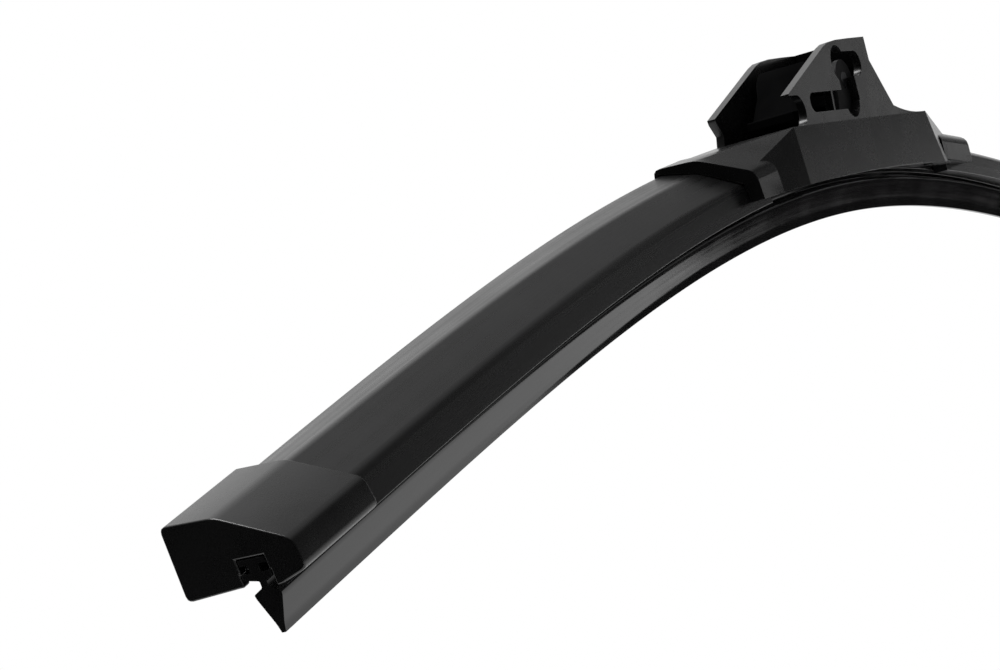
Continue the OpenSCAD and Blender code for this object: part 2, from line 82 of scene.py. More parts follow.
@dataclass(frozen=True)
class Bow:
    """The blade's arc: its curvature fades towards the ends as a power of the distance left."""

    blade_len: float = 406.0
    mid_curve: float = 0.0027
    fade: float = 1.23
    pin_h: float = 17.0
    fine_points: int = 2031

    @property
    def half(self) -> float:
        """Arc length from the middle to an end, in millimetres."""
        return self.blade_len / 2

    def slope(self, s: np.ndarray) -> np.ndarray:
        """Downward slope: k0 L / (n + 1) times 1 - (1 - |s| / L) to the power n + 1, odd in s.

        Args:
            s: arc lengths in millimetres.

        Returns:
            Slopes in radians, positive on the rear half.
        """
        left = np.clip(1 - np.abs(s) / self.half, 0, 1)
        whole = self.mid_curve * self.half / (self.fade + 1)
        return np.sign(s) * whole * (1 - left ** (self.fade + 1))

    def place(self, s: np.ndarray) -> tuple[np.ndarray, np.ndarray]:
        """Integrates (cos, -sin) of the slope with the trapezoid rule on a fine grid.

        Args:
            s: arc lengths in millimetres.

        Returns:
            x and z of the arc at each of them.
        """
        fine = np.linspace(0, self.half, self.fine_points)
        slope = self.slope(fine)
        step = fine[1] - fine[0]
        run, drop = (np.concatenate([[0], np.cumsum((part[1:] + part[:-1]) / 2 * step)])
                     for part in (np.cos(slope), np.sin(slope)))
        reach = np.abs(s)
        return np.sign(s) * np.interp(reach, fine, run), -np.interp(reach, fine, drop)

    def carry(self, s: np.ndarray, sections: Section) -> Grid:
        """Turns each section (y, z) with the arc: x + z sin a, y, z0 + z cos a, lowered to the pin.

        Args:
            s: arc length of each ring.
            sections: one outline (n, 2) for all rings, or one for each ring (m, n, 2).

        Returns:
            Points (m, n, 3) in metres.
        """
        outline = np.broadcast_to(sections, (len(s), *sections.shape[-2:]))
        x0, z0 = self.place(s)
        slope = self.slope(s)
        x = x0[:, None] + outline[..., 1] * np.sin(slope)[:, None]
        z = z0[:, None] + outline[..., 1] * np.cos(slope)[:, None] - self.pin_h
        return np.stack([x, outline[..., 0], z], axis=-1) * MM

    def stations(self, s0: float, s1: float, step: float = 2.5) -> np.ndarray:
        """Evenly spaced arc lengths from s0 to s1, about a step apart."""
        return np.linspace(s0, s1, max(2, int(round(abs(s1 - s0) / step)) + 1))


def softened(outline: list[Span], radii: list[float], steps: int = 5) -> Section:
    """Replaces each corner b by the curve b + (a - b) u (1 - t)^2 + (c - b) v t^2, t from 0 to 1.

    u and v are the corner's radius over the length of the edge to each neighbour, and no more
    than LONGEST_CUT.

    Args:
        outline: corners (y, z), anticlockwise.
        radii: one radius for each corner.
        steps: points on each corner's curve.

    Returns:
        The softened outline, (corners * steps, 2).
    """
    b = np.array(outline, float)
    to_a = np.roll(b, 1, axis=0) - b
    to_c = np.roll(b, -1, axis=0) - b
    r = np.array(radii, float)
    u = np.minimum(LONGEST_CUT, r / np.linalg.norm(to_a, axis=1))[:, None, None]
    v = np.minimum(LONGEST_CUT, r / np.linalg.norm(to_c, axis=1))[:, None, None]
    t = np.linspace(0, 1, steps)[None, :, None]
    curve = b[:, None] + to_a[:, None] * u * (1 - t) ** 2 + to_c[:, None] * v * t ** 2
    return curve.reshape(-1, 2)


@dataclass
class Shell:
    """A closed swept solid: an outer wall, inner walls through its length, and two flat ends."""

    name: str
    outer: Grid
    inner: list[Grid] = field(default_factory=list)

    @staticmethod
    def side(wall: Grid, start: int) -> tuple[list[tuple[int, ...]], np.ndarray]:
        """The quads between the rings of one wall.

        Args:
            wall: its points, (rings, n, 3).
            start: number of its first vertex.

        Returns:
            The faces, and their corners' UV: the distance along the wall and round its first ring.
        """
        n = wall.shape[1]
        i, j = np.meshgrid(np.arange(len(wall) - 1), np.arange(n), indexing="ij")
        after = (j + 1) % n
        quads = np.stack([i * n + j, i * n + after, (i + 1) * n + after, (i + 1) * n + j], axis=-1)
        ring = np.concatenate([wall[0], wall[0][:1]])
        steps = (np.linalg.norm(np.diff(line, axis=0), axis=1) for line in (wall[:, 0], ring))
        along, girth = (np.concatenate([[0], np.cumsum(step)]) for step in steps)
        corners = np.stack([
            np.stack([along[i], girth[j]], -1), np.stack([along[i], girth[j + 1]], -1),
            np.stack([along[i + 1], girth[j + 1]], -1), np.stack([along[i + 1], girth[j]], -1),
        ], axis=2)
        return [tuple(q) for q in (quads.reshape(-1, 4) + start).tolist()], corners.reshape(-1, 2)

    def end(self, walls: list[Grid], starts: np.ndarray, ring: int,
            flip: bool) -> tuple[list[tuple[int, ...]], np.ndarray]:
        """The triangles that close one end, with the inner walls left open.

        Args:
            walls: the outer wall and the inner ones.
            starts: number of each wall's first vertex.
            ring: which ring of the walls it closes.
            flip: whether the triangles' corners run the other way round.

        Returns:
            The faces, and their corners' UV: y and z.
        """
        numbers = np.concatenate([start + ring * w.shape[1] + np.arange(w.shape[1])
                                  for w, start in zip(walls, starts)])
        points = np.concatenate([w[ring] for w in walls])
        triangles = np.array(tessellate_polygon([[Vector(p) for p in w[ring]] for w in walls]))
        if flip:
            triangles = triangles[:, ::-1]
        return [tuple(t) for t in numbers[triangles].tolist()], points[triangles.ravel()][:, 1:]

    def build(self) -> bpy.types.Object:
        """Joins the rings with quads, closes the ends, and lays a UV map.

        Returns:
            The object, at the origin, with its place in its mesh.
        """
        walls = [self.outer, *self.inner]
        verts = np.concatenate([w.reshape(-1, 3) for w in walls])
        starts = np.cumsum([0] + [w.shape[0] * w.shape[1] for w in walls])
        parts = [self.side(wall, start) for wall, start in zip(walls, starts)]
        parts += [self.end(walls, starts, 0, True),
                  self.end(walls, starts, len(self.outer) - 1, False)]
        faces = [face for part_faces, _ in parts for face in part_faces]
        uvs = [part_uvs for _, part_uvs in parts]
        mesh = bpy.data.meshes.new(self.name)
        mesh.from_pydata(verts.tolist(), [], faces)
        layer = mesh.uv_layers.new(name="UVMap")
        layer.data.foreach_set("uv", np.concatenate(uvs).astype(np.float32).ravel())
        settle(mesh)
        return put(self.name, mesh)


def settle(mesh: bpy.types.Mesh, sharp: float = 38.0) -> None:
    """Points all faces outwards and shades them smooth, but for edges sharper than an angle.

    Args:
        mesh: the mesh to change.
        sharp: angle in degrees above which an edge stays sharp.
    """
    work = bmesh.new()
    work.from_mesh(mesh)
    bmesh.ops.recalc_face_normals(work, faces=work.faces)
    if work.calc_volume(signed=True) < 0:
        bmesh.ops.reverse_faces(work, faces=work.faces)
    work.to_mesh(mesh)
    work.free()
    mesh.shade_smooth()
    mesh.set_sharp_from_angle(angle=np.radians(sharp))
    mesh.validate()


def put(name: str, mesh: bpy.types.Mesh) -> bpy.types.Object:
    """Makes an object of a mesh and links it into the scene."""
    piece = bpy.data.objects.new(name, mesh)
    bpy.context.scene.collection.objects.link(piece)
    return piece


def keep_flats(piece: bpy.types.Object) -> None:
    """Weights normals by face area, so that flats between rounded edges stay flat."""
    weighted = piece.modifiers.new("flat_normals", "WEIGHTED_NORMAL")
    weighted.mode = "FACE_AREA"
    weighted.weight = 60
    weighted.keep_sharp = True


# ---------------------------------------------------------------- finishes


class Graph:
    """Adds nodes to one node tree and wires them, so that a finish reads as a list of steps."""

    def __init__(self, tree: bpy.types.NodeTree) -> None:
        """Keeps the tree that the nodes go into."""
        self.tree = tree
        self.column = 0

    def add(self, kind: str, inputs: dict | None = None, **settings: object) -> bpy.types.Node:
        """Adds one node.

        Args:
            kind: the node's type name.
            inputs: values or sockets for its inputs, by name or number.
            settings: attributes set on the node before its inputs.

        Returns:
            The new node.
        """
        node = self.tree.nodes.new(kind)
        node.location = (self.column * 180, 0)
        self.column += 1
        for key, value in settings.items():
            setattr(node, key, value)
        for key, value in (inputs or {}).items():
            if isinstance(value, bpy.types.NodeSocket):
                self.tree.links.new(value, node.inputs[key])
            else:
                node.inputs[key].default_value = value
        return node

    def math(self, operation: str, a: object, b: object = 0.0,
             clamp: bool = False) -> bpy.types.NodeSocket:
        """Adds a Math node and returns its output."""
        node = self.add("ShaderNodeMath", {0: a, 1: b}, operation=operation, use_clamp=clamp)
        return node.outputs[0]

    def product(self, first: object, *others: object, clamp: bool = False) -> bpy.types.NodeSocket:
        """Multiplies values from left to right and returns the result."""
        for other in others:
            first = self.math("MULTIPLY", first, other, clamp)
        return first

    def rest(self, value: object) -> bpy.types.NodeSocket:
        """Returns 1 less a value."""
        return self.math("SUBTRACT", 1.0, value)

    def vector(self, operation: str, a: object, b: object) -> bpy.types.Node:
        """Adds a Vector Math node and returns it."""
        return self.add("ShaderNodeVectorMath", {0: a, 1: b}, operation=operation)

    def noise(self, vector: object, scale: object, detail: float,
              **more: float) -> bpy.types.NodeSocket:
        """Adds a Noise Texture and returns its value."""
        settings = {name.capitalize(): value for name, value in more.items()}
        return self.add("ShaderNodeTexNoise", {
            "Vector": vector, "Scale": scale, "Detail": detail, **settings}).outputs[0]

    def spread(self, value: object, low: float, high: float, to_low: float = 0.0,
               to_high: float = 1.0) -> bpy.types.NodeSocket:
        """Maps a value's range smoothly onto another, and returns the output."""
        node = self.add("ShaderNodeMapRange", {0: value, 1: low, 2: high, 3: to_low, 4: to_high},
                        interpolation_type="SMOOTHSTEP")
        return node.outputs[0]

    def mix(self, factor: object, a: object, b: object) -> bpy.types.NodeSocket:
        """Mixes two values by a factor and returns the value."""
        return self.add("ShaderNodeMix", {0: factor, 2: a, 3: b}, data_type="FLOAT").outputs[0]

    def tint(self, factor: object, a: object, b: object) -> bpy.types.NodeSocket:
        """Mixes two colours by a factor and returns the colour."""
        node = self.add("ShaderNodeMix", {0: factor}, data_type="RGBA")
        for index, value in ((6, a), (7, b)):
            if isinstance(value, bpy.types.NodeSocket):
                self.tree.links.new(value, node.inputs[index])
            else:
                node.inputs[index].default_value = value
        return node.outputs[2]


def emptied(owner: bpy.types.ID) -> Graph:
    """Clears the nodes of a material or a world, and returns the graph to fill."""
    owner.use_nodes = True
    owner.node_tree.nodes.clear()
    return Graph(owner.node_tree)


class Effect(Enum):
    """The shader node groups that the finishes share."""

    GRAIN = "fine_grain"
    CLOUDS = "soft_clouds"
    DRAWN = "drawn_lines"
    EDGES = "rubbed_edges"
    DUST = "settled_dust"
    SCUFFS = "short_scuffs"


class EffectShelf:
    """Builds each shared effect once, as a node group with named inputs and outputs.

    A stretch shortens a pattern's first coordinate, which draws it out into lines.
    """

    FINER_GRAIN = 2.3
    LINE_STRETCH = (0.012, 1.0, 1.0)
    WIDER_LINES = 0.22
    VEIL_SCALE = 140.0
    SPECK_SCALE = 620.0
    SCUFF_TURNS = (0.5, -0.9)
    SCUFF_STRETCH = (0.08, 1.0, 1.0)
    SCUFFS_TO_PATCH = 14.0

    def __init__(self) -> None:
        """Builds all the groups."""
        self.groups: dict[Effect, bpy.types.NodeTree] = {
            Effect.GRAIN: self._grain(),
            Effect.CLOUDS: self._clouds(),
            Effect.DRAWN: self._drawn(),
            Effect.EDGES: self._edges(),
            Effect.DUST: self._dust(),
            Effect.SCUFFS: self._scuffs(),
        }

    def _group(self, effect: Effect, inputs: dict[str, float | None],
               outputs: list[str]) -> tuple[Graph, bpy.types.Node, bpy.types.Node]:
        """Makes an empty group.

        Args:
            effect: the effect it makes.
            inputs: input names with their default value, or None for a vector.
            outputs: names of its value outputs.

        Returns:
            The graph to fill, and the nodes of the group's inputs and outputs.
        """
        tree = bpy.data.node_groups.new(effect.value, "ShaderNodeTree")
        for name, value in inputs.items():
            kind = "NodeSocketVector" if value is None else "NodeSocketFloat"
            socket = tree.interface.new_socket(name=name, in_out="INPUT", socket_type=kind)
            if value is not None:
                socket.default_value = value
        for name in outputs:
            tree.interface.new_socket(name=name, in_out="OUTPUT", socket_type="NodeSocketFloat")
        graph = Graph(tree)
        return graph, graph.add("NodeGroupInput"), graph.add("NodeGroupOutput")

    def _grain(self) -> bpy.types.NodeTree:
        """Spark-eroded mould grain: small round cells mixed with a finer noise."""
        g, start, end = self._group(Effect.GRAIN, {"Vector": None, "Scale": 3000.0}, ["Height"])
        place, scale = start.outputs[:2]
        cells = g.add("ShaderNodeTexVoronoi", {"Vector": place, "Scale": scale},
                      feature="SMOOTH_F1")
        noise = g.noise(place, g.product(scale, self.FINER_GRAIN), 2.0)
        both = g.math("ADD", g.product(cells.outputs["Distance"], 0.8), g.product(noise, 0.5))
        g.tree.links.new(both, end.inputs[0])
        return g.tree

    def _clouds(self) -> bpy.types.NodeTree:
        """Broad uneven patches, such as a moulding's flow or a bloom on rubber."""
        g, start, end = self._group(Effect.CLOUDS, {"Vector": None, "Scale": 60.0}, ["Mask"])
        noise = g.noise(start.outputs[0], start.outputs[1], 5.0, roughness=0.6, distortion=0.4)
        g.tree.links.new(g.spread(noise, 0.32, 0.7), end.inputs[0])
        return g.tree

    def _drawn(self) -> bpy.types.NodeTree:
        """Long lines along the first coordinate, as a die leaves on a drawn or rolled strip."""
        g, start, end = self._group(Effect.DRAWN, {"Vector": None, "Scale": 2500.0}, ["Height"])
        long = g.vector("MULTIPLY", start.outputs[0], self.LINE_STRETCH).outputs[0]
        fine = g.noise(long, start.outputs[1], 3.0)
        wide = g.noise(long, g.product(start.outputs[1], self.WIDER_LINES), 1.0)
        both = g.math("ADD", g.product(fine, 0.45), g.product(wide, 0.55))
        g.tree.links.new(both, end.inputs[0])
        return g.tree

    def _edges(self) -> bpy.types.NodeTree:
        """Edges rubbed bright: where a rounded normal leaves the face's own, broken up by noise."""
        defaults = {"Vector": None, "Radius": 0.0004, "Scale": 900.0}
        g, start, end = self._group(Effect.EDGES, defaults, ["Mask"])
        rounded = g.add("ShaderNodeBevel", {"Radius": start.outputs[1]}, samples=4)
        own = g.add("ShaderNodeNewGeometry").outputs["Normal"]
        meet = g.vector("DOT_PRODUCT", rounded.outputs[0], own).outputs["Value"]
        away = g.math("SUBTRACT", 1.0, meet, clamp=True)
        patches = g.noise(start.outputs[0], start.outputs[2], 4.0, roughness=0.7)
        broken = g.spread(patches, 0.4, 0.62)
        edge = g.spread(away, 0.02, 0.2)
        g.tree.links.new(g.product(edge, broken, clamp=True), end.inputs[0])
        return g.tree

    def _dust(self) -> bpy.types.NodeTree:
        """Specks and a thin veil that settle where a surface faces up."""
        g, start, end = self._group(Effect.DUST, {"Vector": None, "Amount": 0.3}, ["Mask"])
        own = g.add("ShaderNodeNewGeometry").outputs["Normal"]
        up = g.add("ShaderNodeSeparateXYZ", {0: own}).outputs[2]
        lies = g.spread(up, 0.1, 0.95)
        veil = g.noise(start.outputs[0], self.VEIL_SCALE, 6.0, roughness=0.65)
        specks = g.add("ShaderNodeTexVoronoi", {
            "Vector": start.outputs[0], "Scale": self.SPECK_SCALE})
        spots = g.spread(specks.outputs["Distance"], 0.16, 0.05)
        rare = g.spread(veil, 0.45, 0.62)
        both = g.math("ADD", g.product(g.spread(veil, 0.35, 0.75), 0.5), g.product(spots, rare))
        amount = g.product(start.outputs[1], lies)
        g.tree.links.new(g.product(both, amount, clamp=True), end.inputs[0])
        return g.tree

    def _scuffs(self) -> bpy.types.NodeTree:
        """Short thin handling marks in two directions, as bands of a warped wave."""
        g, start, end = self._group(Effect.SCUFFS, {"Vector": None, "Scale": 90.0}, ["Mask"])
        place, scale = start.outputs[:2]
        marks = []
        for turn in self.SCUFF_TURNS:
            turned = g.add("ShaderNodeVectorRotate", {"Vector": place, "Angle": turn},
                           rotation_type="Y_AXIS")
            slim = g.vector("MULTIPLY", turned.outputs[0], self.SCUFF_STRETCH).outputs[0]
            noise = g.noise(slim, g.product(scale, self.SCUFFS_TO_PATCH), 1.0, distortion=0.3)
            marks.append(g.spread(noise, 0.69, 0.76))
        where = g.spread(g.noise(place, scale, 2.0), 0.48, 0.66)
        both = g.math("MAXIMUM", *marks)
        g.tree.links.new(g.product(both, where, clamp=True), end.inputs[0])
        return g.tree

    def place(self, graph: Graph, effect: Effect, **inputs: object) -> bpy.types.NodeSocket:
        """Puts one effect into a material and returns its first output."""
        node = graph.add("ShaderNodeGroup", node_tree=self.groups[effect])
        for name, value in inputs.items():
            if isinstance(value, bpy.types.NodeSocket):
                graph.tree.links.new(value, node.inputs[name])
            else:
                node.inputs[name].default_value = value
        return node.outputs[0]


class Follow(Enum):
    """What a finish's pattern follows: the shared frame, or the piece's own length and girth."""

    FRAME = "Object"
    SURFACE = "UV"


DUST_COLOUR = (0.16, 0.155, 0.145, 1.0)
DUST_ROUGHENS = 0.3
GRAIN_ROUGHENS = 0.06
RUBBING_POLISHES = 0.1
SCUFF_DEPTH = 0.00002


@dataclass(frozen=True)
class Finish:
    """One of the blade's finishes, with the scale and depth of everything that varies on it.

    Scales are patterns to a metre, and depths are metres.
    """

    name: str
    slot: str
    dark: Colour
    pale: Colour
    rough: float
    rough_spread: float
    specular: float = 0.5
    metallic: float = 0.0
    follow: Follow = Follow.FRAME
    grain_scale: float = 3000.0
    grain_depth: float = 0.00002
    lines_scale: float = 2500.0
    lines_depth: float = 0.0
    cloud_scale: float = 60.0
    rub_colour: Colour = (0.09, 0.09, 0.092)
    rub: float = 0.5
    dust: float = 0.2
    scuffs: float = 0.25

    def make(self, shelf: EffectShelf) -> bpy.types.Material:
        """Builds the material: colour, roughness and bump all vary over the surface.

        Args:
            shelf: the shared effects.

        Returns:
            The material.
        """
        material = bpy.data.materials.new(self.name)
        g = emptied(material)
        place = g.add("ShaderNodeTexCoord").outputs["Object"]
        run = place
        if self.follow is Follow.SURFACE:
            run = g.add("ShaderNodeUVMap", uv_map="UVMap").outputs[0]
        clouds = shelf.place(g, Effect.CLOUDS, Vector=place, Scale=self.cloud_scale)
        grain = shelf.place(g, Effect.GRAIN, Vector=place, Scale=self.grain_scale)
        edges = shelf.place(g, Effect.EDGES, Vector=place)
        dust = shelf.place(g, Effect.DUST, Vector=place, Amount=self.dust)
        scuffs = shelf.place(g, Effect.SCUFFS, Vector=place)
        rubbed = g.product(edges, self.rub, clamp=True)
        scuffed = g.product(scuffs, self.scuffs, clamp=True)
        colour = g.tint(clouds, (*self.dark, 1.0), (*self.pale, 1.0))
        colour = g.tint(rubbed, colour, (*self.rub_colour, 1.0))
        colour = g.tint(g.product(scuffed, 0.5), colour, (*self.rub_colour, 1.0))
        colour = g.tint(dust, colour, DUST_COLOUR)
        rough = g.spread(clouds, 0.0, 1.0, self.rough - self.rough_spread,
                         self.rough + self.rough_spread)
        rough = g.math("ADD", rough, g.product(grain, GRAIN_ROUGHENS))
        rough = g.math("ADD", rough, g.product(dust, DUST_ROUGHENS))
        rough = g.math("SUBTRACT", rough, g.product(rubbed, RUBBING_POLISHES), clamp=True)
        height = g.product(grain, self.grain_depth)
        height = g.math("SUBTRACT", height, g.product(scuffed, SCUFF_DEPTH))
        if self.lines_depth > 0:
            lines = shelf.place(g, Effect.DRAWN, Vector=run, Scale=self.lines_scale)
            height = g.math("ADD", height, g.product(lines, self.lines_depth))
            rough = g.math("ADD", rough, g.spread(lines, 0.35, 0.65, -0.03, 0.05), clamp=True)
        bump = g.add("ShaderNodeBump", {"Height": height, "Strength": 1.0, "Distance": 1.0})
        shader = g.add("ShaderNodeBsdfPrincipled", {
            "Base Color": colour, "Roughness": rough, "Normal": bump.outputs[0],
            "Metallic": self.metallic, "Specular IOR Level": self.specular})
        g.add("ShaderNodeOutputMaterial", {"Surface": shader.outputs[0]})
        return material


class FinishRoom:
    """Makes each finish once and puts it on pieces and on carried-over nodes."""

    MOULDED = Finish(
        "moulded_black_satin", "moulded_black", (0.005, 0.005, 0.0052), (0.0085, 0.0085, 0.0088),
        rough=0.23, rough_spread=0.025, grain_scale=3800.0, grain_depth=0.000006,
        rub=0.35, dust=0.02, scuffs=0.06)
    CLIP = Finish(
        "clip_black_plain", "clip_plastic", (0.0035, 0.0035, 0.0037), (0.006, 0.006, 0.0062),
        rough=0.5, rough_spread=0.05, specular=0.0, grain_scale=2600.0, grain_depth=0.00001,
        rub=0.15, dust=0.01, scuffs=0.1)
    SPOILER = Finish(
        "spoiler_soft_black", "spoiler_rubber", (0.006, 0.006, 0.0062), (0.01, 0.01, 0.0102),
        rough=0.26, rough_spread=0.02, follow=Follow.SURFACE, grain_scale=5200.0,
        grain_depth=0.000005, lines_scale=2400.0, lines_depth=0.000008, cloud_scale=45.0,
        rub=0.2, dust=0.025, scuffs=0.04)
    RUBBER = Finish(
        "wiping_rubber_graphite", "wiping_rubber", (0.007, 0.007, 0.0073), (0.012, 0.012, 0.0123),
        rough=0.065, rough_spread=0.015, specular=0.44, follow=Follow.SURFACE, grain_scale=6500.0,
        grain_depth=0.000001, lines_scale=3600.0, lines_depth=0.0000006, cloud_scale=90.0,
        rub=0.2, dust=0.03, scuffs=0.06)
    SPRING = Finish(
        "spring_steel_rolled", "spring_steel", (0.3, 0.3, 0.31), (0.44, 0.44, 0.46),
        rough=0.3, rough_spread=0.06, metallic=1.0, lines_scale=4200.0, lines_depth=0.00001,
        grain_depth=0.000003, rub_colour=(0.6, 0.6, 0.62), rub=0.5, dust=0.1, scuffs=0.3)
    COATED = Finish(
        "coated_steel_black", "coated_steel", (0.01, 0.01, 0.0105), (0.017, 0.017, 0.0175),
        rough=0.45, rough_spread=0.06, specular=0.12, grain_scale=1500.0, grain_depth=0.00001,
        rub_colour=(0.16, 0.16, 0.17), rub=0.3, dust=0.03, scuffs=0.2)
    PIN = Finish(
        "pin_steel_zinc", "pin_steel", (0.07, 0.07, 0.073), (0.15, 0.15, 0.157),
        rough=0.36, rough_spread=0.1, metallic=1.0, cloud_scale=700.0, grain_scale=2200.0,
        grain_depth=0.000006, rub_colour=(0.5, 0.5, 0.52), rub=0.4, dust=0.15, scuffs=0.4)

    def __init__(self) -> None:
        """Builds the shared effects, and no material yet."""
        self.shelf = EffectShelf()
        self.made: dict[str, bpy.types.Material] = {}

    def dress(self, piece: bpy.types.Object, finish: Finish) -> None:
        """Gives a piece or a carried-over node one finish, and a material slot to a piece that has
        none.
        """
        if finish.name not in self.made:
            self.made[finish.name] = finish.make(self.shelf)
        if not piece.material_slots:
            piece.data.materials.append(self.made[finish.name])
        for material_slot in piece.material_slots:
            material_slot.link = "OBJECT"
            material_slot.material = self.made[finish.name]


# ---------------------------------------------------------------- sub-assemblies


@dataclass
class SoftSpoiler:
    """The two soft spoilers: a tall wall, a soft ridge, a falling top, a low wall and rail lips."""

    bow: Bow
    low_y: float = 5.1
    low_lean: float = 0.6
    low_h: float = 4.6
    tall_y: float = 9.45
    tall_h: float = 9.75
    tall_fall: float = 1.65
    ridge_y: float = 2.8
    ridge_h: float = 8.3
    ridge_rise: float = 0.4
    wall: float = 1.2
    start: float = 43.15
    end: float = 185.35
    slot_reach: float = 3.95
    slot_low: float = 1.45
    slot_high: float = 2.65
    head_reach: float = 2.05
    head_high: float = 3.45
    mouth: float = 2.25
    web: float = 0.8
    room_play: float = 0.1
    room_soft: float = 0.3

    def outline(self, far: float) -> Section:
        """The outer outline with the T-shaped room for the heads and rails, open below.

        Args:
            far: 0 next to the connector and 1 at the end cap; heights change evenly between.

        Returns:
            The softened outline.
        """
        corners = [
            (-self.low_y, 0.0), (-self.mouth, 0.0), (-self.mouth, self.slot_low),
            (-self.slot_reach, self.slot_low), (-self.slot_reach, self.slot_high),
            (-self.head_reach, self.slot_high), (-self.head_reach, self.head_high),
            (self.head_reach, self.head_high), (self.head_reach, self.slot_high),
            (self.slot_reach, self.slot_high), (self.slot_reach, self.slot_low),
            (self.mouth, self.slot_low), (self.mouth, 0.0), (self.tall_y, 0.0),
            (self.tall_y, self.tall_h - self.tall_fall * far),
            (self.ridge_y, self.ridge_h + self.ridge_rise * far),
            (-self.low_y + self.low_lean, self.low_h),
        ]
        return softened(corners, [0.18, 0.25, *[0.1] * 10, 0.25, 0.4, 0.45, 0.7, 1.0])

    def hollows(self) -> list[Section]:
        """The two closed rooms inside: under the falling top, and behind the tall wall."""
        fall = (self.ridge_h - self.low_h) / (self.ridge_y + self.low_y - self.low_lean)
        roof = self.wall * np.sqrt(1 + fall * fall)
        floor = self.head_high + self.web
        low_left = -self.low_y + self.low_lean + (floor + roof - self.low_h) / fall
        reach = self.slot_reach
        lowest = min(self.ridge_h, self.tall_h - self.tall_fall + 2 * self.room_play)
        ceiling = lowest - self.wall - self.room_play
        upper = [(low_left, floor), (reach, floor), (reach, ceiling),
                 (self.ridge_y, self.ridge_h - roof)]
        tall = [(reach + self.web, self.wall), (self.tall_y - self.wall, self.wall),
                (self.tall_y - self.wall, ceiling), (reach + self.web, ceiling)]
        return [softened(room, [self.room_soft] * 4, 4)[::-1] for room in (upper, tall)]

    def build(self, room: FinishRoom) -> list[bpy.types.Object]:
        """Sweeps both spoilers along the bow, front and rear."""
        pieces = []
        for way, side in ((-1, "front"), (1, "rear")):
            along = self.bow.stations(*sorted((way * self.start, way * self.end)))
            near, far = self.outline(0.0), self.outline(1.0)
            share = ((np.abs(along) - self.start) / (self.end - self.start))[:, None, None]
            outer = self.bow.carry(along, near + (far - near) * share)
            inner = [self.bow.carry(along, hollow) for hollow in self.hollows()]
            piece = Shell(f"soft_spoiler_{side}", outer, inner).build()
            keep_flats(piece)
            room.dress(piece, FinishRoom.SPOILER)
            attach(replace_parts(piece, f"spoiler_{side}"), "blade")
            pieces.append(piece)
        return pieces


@dataclass
class WipingRubber:
    """The wiping element: two heads on a web, a thin neck, a wedge and the square-cut lip."""

    bow: Bow
    reach: float = 202.85
    head: float = 1.9
    foot: float = 2.1
    web: float = 0.75
    neck: float = 0.5
    wedge: float = 1.95
    wedge_lean: float = 0.1
    wedge_drop: Span = (1.7, 1.15)
    neck_drop: float = 0.45
    neck_top: float = 0.4
    lip: float = 0.3
    lip_off: float = 0.5
    lip_drop: float = 6.2
    lip_flare: Span = (0.25, 1.1)
    rail_low: float = 1.55
    rail_high: float = 2.55
    head_top: float = 3.3
    foot_low: float = 0.8

    def outline(self) -> Section:
        """Both sides, each from the lip to the head; neck, wedge and lip stand off the middle."""
        blade = [
            (self.lip, -self.lip_drop),
            (self.lip + self.lip_flare[0], -self.lip_drop + self.lip_flare[1]),
            (self.wedge - self.wedge_lean, -self.wedge_drop[0]), (self.wedge, -self.wedge_drop[1]),
            (self.neck, -self.neck_drop), (self.neck, self.neck_top),
        ]
        heads = [
            (self.foot, self.foot_low), (self.foot, self.rail_low), (self.web, self.rail_low),
            (self.web, self.rail_high), (self.head, self.rail_high), (self.head, self.head_top),
        ]
        radii = [0.04, 0.5, 0.3, 0.2, 0.25, 0.2, 0.12, 0.08, 0.08, 0.08, 0.08, 0.12]
        right = [(y - self.lip_off, z) for y, z in blade] + heads
        left = [(-y, z) for y, z in heads[::-1]]
        left += [(-y - self.lip_off, z) for y, z in blade[::-1]]
        return softened(right + left, radii + radii[::-1])

    def build(self, room: FinishRoom) -> list[bpy.types.Object]:
        """Sweeps the rubber over the whole blade."""
        along = self.bow.stations(-self.reach, self.reach)
        piece = Shell("wiping_rubber", self.bow.carry(along, self.outline())).build()
        keep_flats(piece)
        room.dress(piece, FinishRoom.RUBBER)
        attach(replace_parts(piece, "wiper_rubber"), "blade")
        return [piece]


@dataclass(frozen=True)
class Rounding:
    """How a carried-over form gets its moulded or stamped edges.

    Faces that meet at less than the join angle become one face, and edges sharper than the sharp
    angle are rounded; both are degrees. Clamped, the rounding shrinks where faces are narrow.
    """

    node: str
    piece: str
    body: str
    finish: Finish
    radius: float
    segments: int = 3
    sharp: float = 32.0
    clamp: bool = True
    join: float = 0.6


CAP_EDGES = {"radius": 0.28, "clamp": False, "join": 2.5}
STAMPED_EDGES = {"radius": 0.12, "segments": 2}


